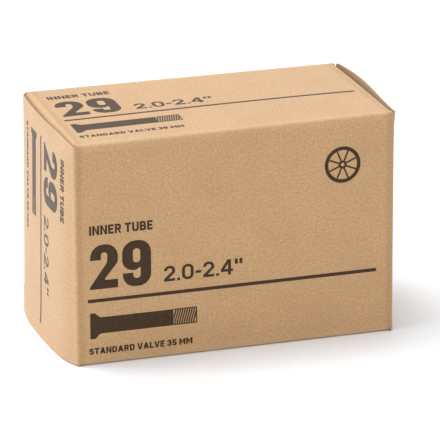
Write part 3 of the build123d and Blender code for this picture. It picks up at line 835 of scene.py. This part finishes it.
def printed(name, parts, place, body, outward):
    """Lays flat shapes on the board as a thin layer of ink. place(x, z, lift) is a point on the board."""
    flat = bmesh.new()
    for part in parts:
        mesh = bpy.data.meshes.new("part")
        part.to_mesh(mesh)
        flat.from_mesh(mesh)
        bpy.data.meshes.remove(mesh)
    xs = [v.co.x for v in flat.verts]
    ys = [v.co.y for v in flat.verts]
    for axis, low, high in ((0, min(xs), max(xs)), (1, min(ys), max(ys))):
        for k in range(int(low // 3) + 1, int(high // 3) + 1):
            point, normal = [0, 0, 0], [0, 0, 0]
            point[axis], normal[axis] = 3.0 * k, 1
            everything = flat.verts[:] + flat.edges[:] + flat.faces[:]
            bmesh.ops.bisect_plane(flat, geom=everything, plane_co=point, plane_no=normal, dist=1e-4)
    bmesh.ops.triangulate(flat, faces=flat.faces[:])
    bmesh.ops.dissolve_degenerate(flat, edges=flat.edges[:], dist=1e-3)
    flat.verts.index_update()
    spots = [(v.co.x, v.co.y) for v in flat.verts]
    count = len(spots)
    top = [place(x, z, 0.045) for x, z in spots]
    under = [place(x, z, -0.02) for x, z in spots]
    faces = [[v.index for v in f.verts] for f in flat.faces]
    a, b, c = (Vector(top[i]) for i in faces[0][:3])
    if (b - a).cross(c - a).dot(Vector(outward)) < 0:
        faces = [f[::-1] for f in faces]
    used = {}
    for f in faces:
        for p, q in zip(f, f[1:] + f[:1]):
            used[(p, q)] = used.get((p, q), 0) + 1
    walls = [(q, p, p + count, q + count) for p, q in used if (q, p) not in used]
    faces += [[i + count for i in f[::-1]] for f in faces]
    mesh = bpy.data.meshes.new(name)
    mesh.from_pydata((np.array(top + under) * MM).tolist(), [], faces + walls)
    write_uv(mesh, np.array(spots * 2))
    flat.free()
    made = add_object(name, mesh, (ink,))
    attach(made, body)


def artwork(rule_end, valve_scale, caption_end, mark):
    """The print of one face, in millimetres from its lower left corner."""
    parts = [outline_mesh([rounded_outline(TWO)]),
             outline_mesh([rounded_outline(NINE), rounded_outline(NINE_EYE)]),
             outline_mesh([box_outline(4.6, 24.95, rule_end, 26.3)])]
    parts += word_parts("INNER TUBE", 5.5, 51.9, 30.3, 55.6, 2.2)
    parts += word_parts("2.0-2.4\"", 34.6, 30.3, 65.7, 36.5, 1.68)
    parts += word_parts("STANDARD VALVE 35 MM", 4.9, 4.1, caption_end, 6.6, 2.35)
    parts += valve_drawing(valve_scale)
    if mark:
        parts += wheel_mark(106.0, 69.3, 7.2)
    return parts


def on_sleeve(shift_x, start):
    return lambda x, z, lift: sleeve_point(x - SIDE_X + shift_x, start + z, lift)


def on_back(x, z, lift):
    return sleeve_point(SIDE_X - x, BACK_START + HEIGHT - z, lift)


MARGIN = 5.15  # sets the ends' print in the middle of their depth


def on_closure(side):
    """The ends' print reads downwards. Its foot is at the back on the left end, at the front on the right."""
    def place(x, z, lift):
        y = HIGH_Y - z - MARGIN if side < 0 else LOW_Y + z + MARGIN
        return closure_point(side, y - LOW_Y - END_FOLD + ROUND_FOLD, HEIGHT - x - 3.4, lift)
    return place


printed("front_print", artwork(119.8, 1.0, 45.7, True), on_sleeve(0, FRONT_START), "sleeve", (0, -1, 0))
printed("top_print", artwork(120.8, 1.0, 45.7, False), on_sleeve(0.4, TOP_START + 4.5), "sleeve", (0, 0, 1))
printed("back_print", artwork(119.8, 1.0, 45.7, True), on_back, "sleeve", (0, 1, 0))
printed("left_print", artwork(80.0, 0.8, 47.6, False), on_closure(-1), "left_closure", (-1, 0, 0))
printed("right_print", artwork(80.0, 0.8, 47.6, False), on_closure(1), "right_closure", (1, 0, 0))

# ------------------------------------------------------------------ the rolled tube

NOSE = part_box("valve_patch")
VALVE_Z = (NOSE[0][2] + NOSE[1][2]) / 2 / MM
TUBE_LOW_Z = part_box("butyl_tube")[0][2] / MM
BAND_X = (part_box("rubber_band")[0][0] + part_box("rubber_band")[1][0]) / 2 / MM
LAYER = 1.35  # half the thickness of the flattened tube
PITCH = 6.2
OUTER = 31.7
SPINDLE_X = 24.75
SPINDLE_Z = TUBE_LOW_Z + LAYER + OUTER + 0.2
NOSE_X = 11.5
TOP_Z = VALVE_Z + 5.0
UNDER_Z = VALVE_Z - 5.0


def roll_radius(lap):
    """The roll's radius after that many laps: each lap steps in under the start of the next."""
    whole = floor(lap)
    part = (lap - whole - 0.72) / 0.28
    part = min(1.0, max(0.0, part))
    return OUTER - PITCH * (whole + part * part * (3 - 2 * part))


def roll_point(lap, inwards):
    """A point on the roll, lap turns from its right side, going down first. The roll is a racetrack."""
    radius = roll_radius(lap) - inwards
    angle = -2 * pi * lap
    x = radius * cos(angle)
    z = radius * sin(angle)
    centre = SPINDLE_X * (1 if cos(angle) > 0 else -1)
    return (centre + x, SPINDLE_Z + z)


def tube_line():
    """The closed centre line of the flattened tube: from the fold at the valve over the roll, in along its
    outer layer, round the middle, and back out along the layer inside it."""
    laps = 4.25
    steps = int(laps * 110)
    outer = [roll_point(laps * k / steps, 0) for k in range(steps + 1)]
    inner = [roll_point(laps * k / steps, PITCH / 2) for k in range(steps + 1)]
    turn_r = 38.2
    corner_x, corner_z = SPINDLE_X + OUTER - turn_r, TOP_Z - turn_r
    over = [(x, TOP_Z) for x in np.linspace(NOSE_X, corner_x, 5)[:-1]]
    over += [(corner_x + turn_r * cos(radians(a)), corner_z + turn_r * sin(radians(a)))
             for a in range(90, -1, -4)]
    first_inner = [(x, UNDER_Z) for x in np.linspace(NOSE_X, SPINDLE_X, 7)[:-1]]
    for k in range(24):
        share = k / 24
        ease = share * share * (3 - 2 * share)
        radius = (UNDER_Z - SPINDLE_Z) * (1 - ease) + (OUTER - PITCH / 2) * ease
        angle = pi / 2 * (1 - share)
        first_inner.append((SPINDLE_X + radius * cos(angle), SPINDLE_Z + radius * sin(angle)))
    nose = [(NOSE_X - 5.0 * sin(radians(a)), VALVE_Z - 5.0 * cos(radians(a))) for a in range(9, 180, 9)]
    line = nose + over + outer + inner[::-1] + first_inner[::-1]
    return np.array(line)


def even(line, step):
    """The closed line cut into nearly equal steps, then eased a little."""
    closed = np.vstack([line, line[:1]])
    away = np.concatenate([[0], np.cumsum(np.hypot(*np.diff(closed, axis=0).T))])
    count = int(away[-1] / step)
    at = np.linspace(0, away[-1], count, endpoint=False)
    out = np.stack([np.interp(at, away, closed[:, k]) for k in (0, 1)], axis=1)
    for _ in range(4):
        out = out / 2 + (np.roll(out, 1, axis=0) + np.roll(out, -1, axis=0)) / 4
    return out, away[-1]


def make_tube():
    line, length = even(tube_line(), 2.0)
    ahead = np.roll(line, -1, axis=0) - np.roll(line, 1, axis=0)
    ahead /= np.linalg.norm(ahead, axis=1, keepdims=True)
    aside = np.stack([-ahead[:, 1], ahead[:, 0]], axis=1)
    sides = 30
    points = []
    for k, ((x, z), (nx, nz)) in enumerate(zip(line, aside)):
        s = length * k / len(line)
        width = 29.2 + 0.45 * sin(s / 17.0) + 0.3 * sin(s / 6.3 + 1.0)
        width -= 1.3 * exp(-((x - BAND_X) / 8.0) ** 2)
        near_nose = exp(-(hypot(x - NOSE_X + 5, z - VALVE_Z) / 9.0) ** 2)
        for j in range(sides):
            phi = 2 * pi * j / sides
            y = copysign(abs(cos(phi)) ** 0.42, cos(phi)) * width
            share = abs(y) / width
            half = LAYER * (0.80 + 0.22 * share ** 8 * (1 + 0.3 * sin(s / 4.1)))
            half -= 0.16 * (0.5 + 0.5 * sin(s / 3.1 + 0.11 * y)) * (1 - share ** 4) * sin(pi * share) ** 2
            drift = 0.14 * sin(s / 5.3 + 0.19 * y) * sin(0.13 * y + 0.7) * (1 - 0.8 * near_nose)
            off = copysign(abs(sin(phi)) ** 0.85, sin(phi)) * half + drift
            points.append((x + nx * off, y, z + nz * off))
    mesh = ring_mesh("rolled_tube", points, sides)
    face_outwards(mesh)
    smooth(mesh, 60)
    piece = add_object("rolled_tube", mesh, (butyl,))
    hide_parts("butyl_tube")
    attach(piece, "rolled_tube")


make_tube()


def make_band():
    """A flat rubber band round the roll, drawn in a little at the tube's edges and slightly skewed."""
    low, high = (np.array(c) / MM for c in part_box("rubber_band"))
    half_y, half_z = (high[1] - low[1]) / 2 - 0.5, (high[2] - low[2]) / 2 - 0.3
    middle_z = (high[2] + low[2]) / 2
    corner = 3.2
    path = []
    for cx, cz, start in ((1, 1, 0), (-1, 1, 90), (-1, -1, 180), (1, -1, 270)):
        for a in range(start, start + 91, 10):
            path.append((cx * (half_y - corner) + corner * cos(radians(a)),
                         cz * (half_z - corner) + corner * sin(radians(a)), a))
    path = np.array(path)
    dense = []
    for a, b in zip(path, np.roll(path, -1, axis=0)):
        parts = max(1, int(hypot(*(b - a)[:2]) / 3))
        turn = (b[2] - a[2]) % 360
        dense += [(*(a + (b - a) * k / parts)[:2], a[2] + turn * k / parts) for k in range(parts)]
    section = [(-1.45, -0.3), (0, -0.34), (1.45, -0.3), (1.6, 0), (1.45, 0.3), (0, 0.34), (-1.45, 0.3),
               (-1.6, 0)]
    points = []
    for y, z, a in dense:
        oy, oz = cos(radians(a)), sin(radians(a))
        skew = 0.9 * sin(radians(a) * 0.5 + 0.4) + 0.25 * sin(0.21 * z + 0.1 * y)
        points += [(BAND_X + u * (1 - 0.12 * abs(oy)) + skew - 0.4, y + oy * v, middle_z + z + oz * v)
                   for u, v in section]
    mesh = ring_mesh("band", points, len(section))
    smooth(mesh, 50)
    piece = add_object("band", mesh, (band_rubber,))
    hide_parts("rubber_band")
    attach(piece, "rolled_tube")


make_band()


# ------------------------------------------------------------------ valve

STEM_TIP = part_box("valve_stem_brass")[0][0] / MM
FOLDED_END = STEM_TIP + 36.0
AROUND = 72


def turned_piece(name, profile, shape, material, node, angle=40):
    """Revolves (station, radius) points about the valve's axis. shape(station, radius, turn, k) moves one."""
    points = []
    for k, (station, radius) in enumerate(profile):
        for j in range(AROUND):
            turn = 2 * pi * j / AROUND
            s, r = shape(station, radius, turn, k)
            points.append((FOLDED_END - s, r * cos(turn), VALVE_Z + r * sin(turn)))
    mesh = ring_mesh(name, points, AROUND)
    face_outwards(mesh)
    smooth(mesh, angle)
    piece = add_object(name, mesh, (material,))
    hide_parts(node)
    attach(piece, "rolled_tube")
    return piece


THREAD_PITCH = 0.794
THREAD_START = 28.35
THREAD_STOP = 35.6


def threaded(station, radius, turn, k):
    """Cuts a right-handed thread into the stem's outside."""
    if radius < 3.5 or not THREAD_START < station < THREAD_STOP:
        return station, radius
    phase = (station / THREAD_PITCH - turn / (2 * pi)) % 1.0
    ridge = min(1.0, max(0.0, 1.9 * (1 - abs(2 * phase - 1)) - 0.35))
    fade = min(1.0, (station - THREAD_START) / 0.5, (THREAD_STOP - station) / 0.5)
    return station, radius - 0.42 * (1 - ridge) * fade


def saddled(station, radius, turn, k):
    """Seats the flange on the patch, which is round about the tube's fold."""
    if k <= 1:
        z = radius * sin(turn)
        seat = 6.5 - sqrt(max(0.0, 7.72 ** 2 - z * z))
        return -seat, radius
    return station, radius


thread_run = list(np.arange(THREAD_START, THREAD_STOP + 0.05, 0.0992))
stem_profile = [(1.3, 1.5), (1.3, 2.78), (28.0, 2.78), (28.0, 3.4), (28.3, 3.83)]
stem_profile += [(s, 3.83) for s in thread_run]
stem_profile += [(35.75, 3.70), (36.0, 3.4), (36.0, 2.72), (35.9, 2.65), (17.0, 2.65), (17.0, 1.5)]
turned_piece("stem_thread", stem_profile, threaded, nickel, "valve_stem_brass", 35)

cover = [(-1.9, 2.82), (-1.9, 6.2), (0.4, 6.28), (1.7, 6.28), (2.3, 6.1), (2.8, 5.75), (3.6, 5.1),
         (4.6, 4.55), (5.8, 4.2), (7.0, 4.08)]
for ring_start in (9.0, 11.0, 13.0, 15.0):
    cover += [(ring_start, 4.06), (ring_start + 0.12, 3.86), (ring_start + 0.5, 3.86)]
    cover.append((ring_start + 0.62, 4.06))
cover += [(20.0, 4.05), (27.3, 4.05), (27.7, 4.0), (27.95, 3.75), (27.95, 2.82)]
turned_piece("stem_cover", cover, saddled, butyl_clean, "valve_stem_rubber", 50)

for node, material in (("valve_patch", butyl_clean), ("core_barrel", brass), ("core_pin", brass),
                       ("core_seal", seal_red), ("core_gasket", washer_grey), ("core_spring", steel),
                       ("valve_cap", cap_black), ("cap_washer", washer_grey)):
    part = frame["nodes"][node]
    for k in range(len(part.material_slots)):
        part.material_slots[k].material = material


# ------------------------------------------------------------------ floor and light

def make_floor():
    graph = Graph("studio_floor")
    place = graph.place()
    fine = graph.noise(place, 0.02, 2.0)
    graph.shader(Base_Color=graph.mix(fine, (0.89, 0.905, 0.93, 1), (0.90, 0.915, 0.94, 1)), Roughness=0.8,
                 Specular_IOR_Level=0.1)
    mesh = bpy.data.meshes.new("floor")
    mesh.from_pydata([(-4, -4, 0), (4, -4, 0), (4, 4, 0), (-4, 4, 0)], [], [(0, 1, 2, 3)])
    mesh.materials.append(graph.material)
    made = bpy.data.objects.new("floor", mesh)
    made.location.z = -0.0002
    scene.collection.objects.link(made)


def add_light(name, place, aim, power, size, size_y):
    data = bpy.data.lights.new(name, "AREA")
    data.shape = "RECTANGLE"
    data.energy = power
    data.size = size
    data.size_y = size_y
    made = bpy.data.objects.new(name, data)
    made.location = place
    made.rotation_mode = "QUATERNION"
    made.rotation_quaternion = (Vector(aim) - Vector(place)).to_track_quat("-Z", "Y")
    scene.collection.objects.link(made)


make_floor()
world = bpy.data.worlds.new("studio")
world.use_nodes = True
world.node_tree.nodes["Background"].inputs["Color"].default_value = (1, 1, 1, 1)
world.node_tree.nodes["Background"].inputs["Strength"].default_value = 0.79
scene.world = world
scene.view_settings.view_transform = "Standard"
scene.view_settings.look = "None"
add_light("key", (-0.5, 0.45, 1.75), (0, 0, 0.04), 26, 1.2, 1.2)
add_light("left_fill", (-2.0, 0.1, 0.75), (0, 0, 0.04), 13, 2.0, 1.4)
add_light("front_fill", (-0.4, -1.9, 1.0), (0, 0, 0.04), 3, 1.4, 1.0)
